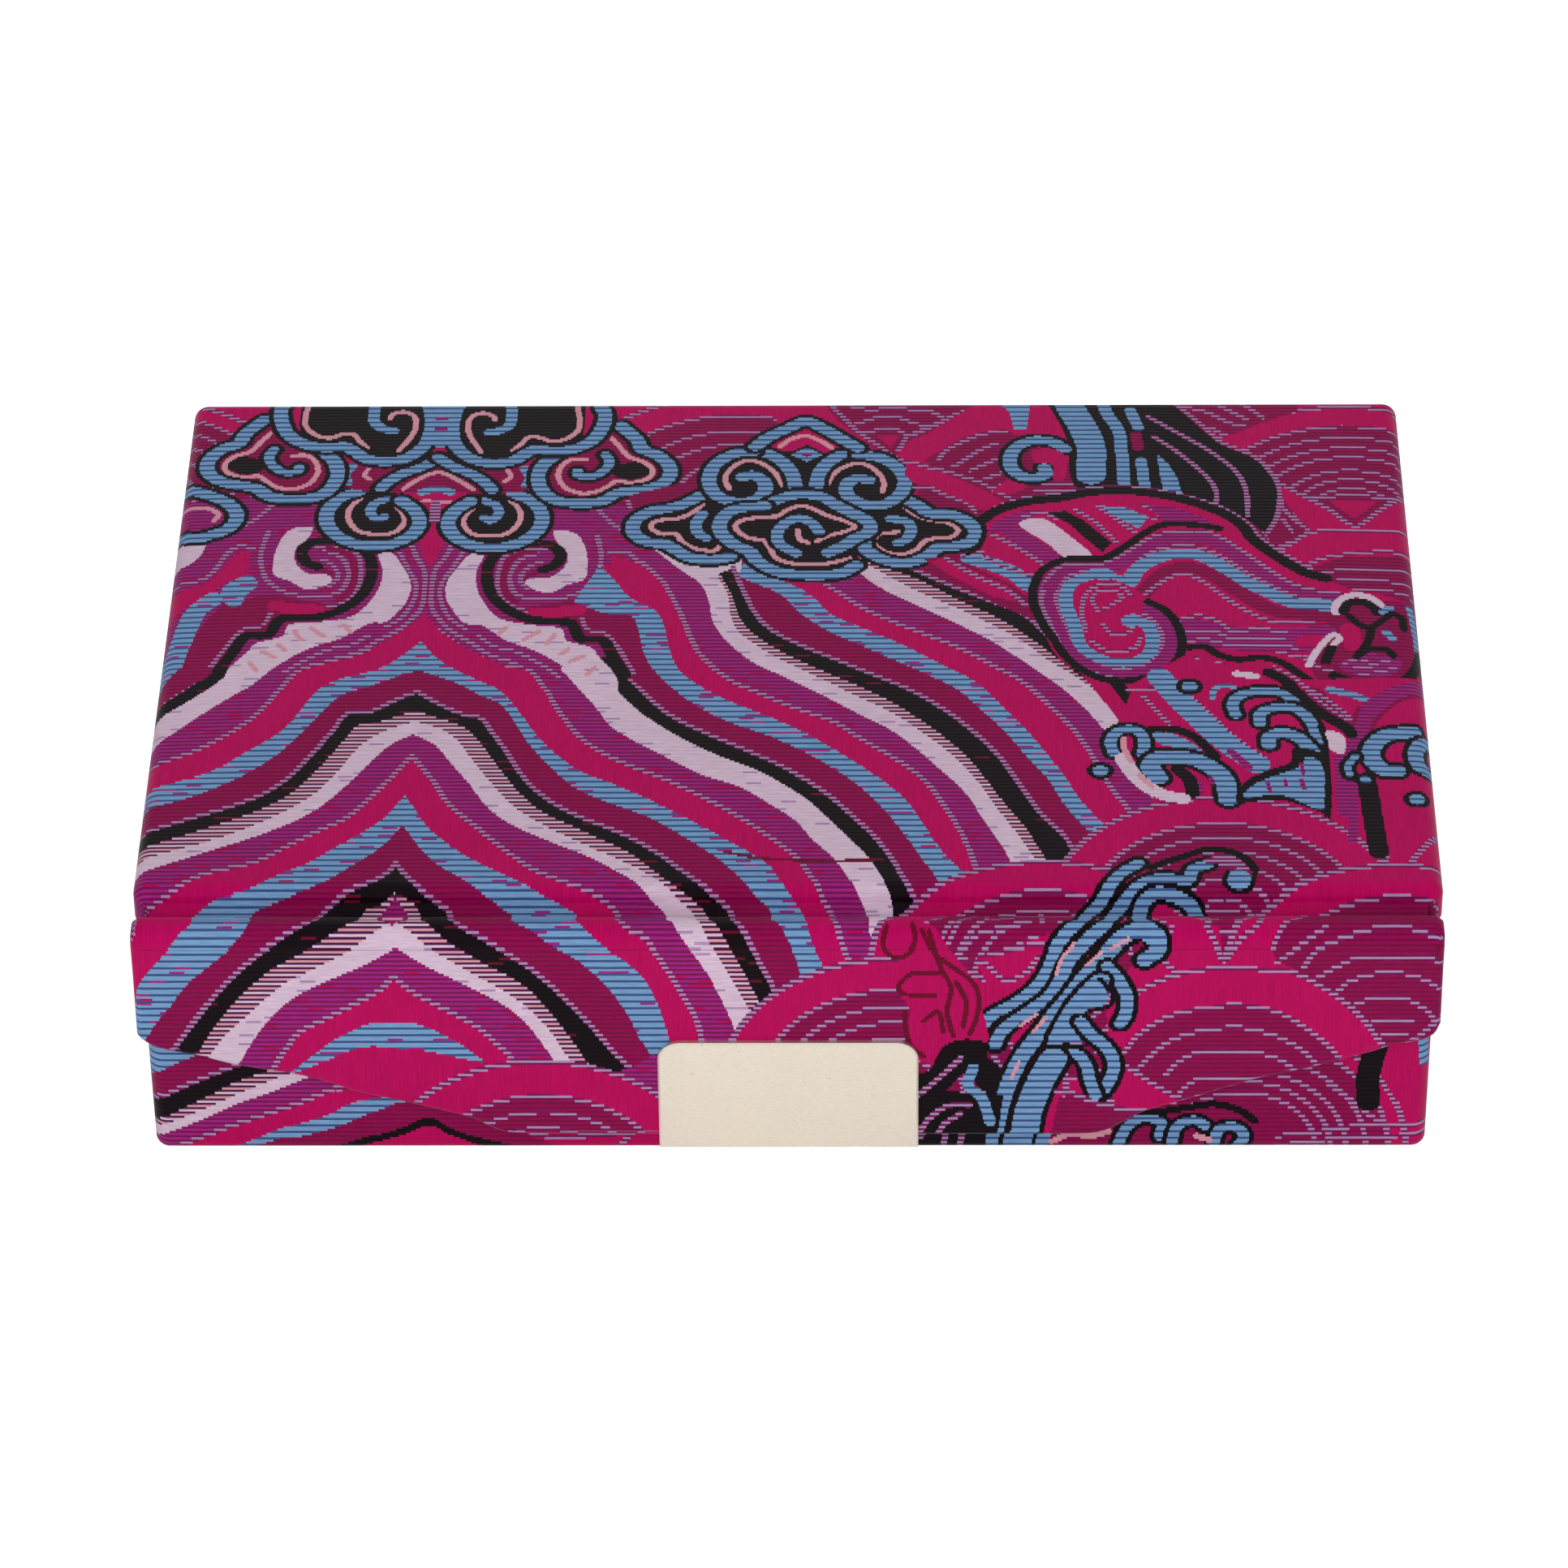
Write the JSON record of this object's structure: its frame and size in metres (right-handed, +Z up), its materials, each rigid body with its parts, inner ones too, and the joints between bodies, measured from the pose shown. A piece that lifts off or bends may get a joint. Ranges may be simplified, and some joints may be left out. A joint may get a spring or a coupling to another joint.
{
  "type": "card box",
  "caption": "Flat brocade-covered box with a padded lid that hinges on its cloth spine and a shaped front flap with a plain metal magnetic clasp.",
  "frame": {"origin": "on the floor under the middle of the closed box's bounding box", "axes": "+X across the box, -Y towards the front flap and its clasp, +Y towards the spine, +Z up"},
  "size_m": [0.103, 0.072, 0.0254],
  "materials": {
    "brocade": "magenta silk brocade with blue, black and pinkish-white figures",
    "base_sheet": "plain matt cloth",
    "lining": "plain gold satin over thin card",
    "hinge_lining": "plain gold satin",
    "board": "grey-brown pressed card, sealed in the cloth",
    "wadding": "thin polyester wadding, sealed in the cloth",
    "clasp": "plain pale champagne metal, satin",
    "steel": "thin pressed steel",
    "magnet": "plated magnet"
  },
  "bodies": {
    "tray": {"base_board": "board", "front_wall_board": "board", "back_wall_board": "board", "left_wall_board": "board", "right_wall_board": "board", "keeper_plate": "steel", "tray_cover": "brocade", "bottom_sheet": "base_sheet", "floor_lining": "lining", "front_lining": "lining", "back_lining": "lining", "left_lining": "lining", "right_lining": "lining", "spine_cover": "brocade", "spine_lining": "hinge_lining"},
    "lid": {"lid_board": "board", "lid_wadding": "wadding", "lid_cover": "brocade", "lid_lining": "lining", "fold_cover": "brocade", "fold_lining": "hinge_lining"},
    "flap": {"flap_board": "board", "flap_wadding": "wadding", "flap_cover": "brocade", "flap_lining": "lining", "clasp_plate": "clasp", "clasp_washer": "steel", "clasp_magnet": "magnet"}
  },
  "joints": [
    {"name": "lid_hinge", "type": "hinge", "parent": "tray", "child": "lid", "pos_m": [0, 0.036, 0.0214], "axis": [-1, 0, 0], "range_deg": [0, 110], "deforming": ["spine_cover", "spine_lining"]},
    {"name": "flap_hinge", "type": "hinge", "parent": "lid", "child": "flap", "pos_m": [0, -0.0317, 0.0234], "axis": [-1, 0, 0], "range_deg": [0, 90], "deforming": ["fold_cover", "fold_lining"]}
  ]
}
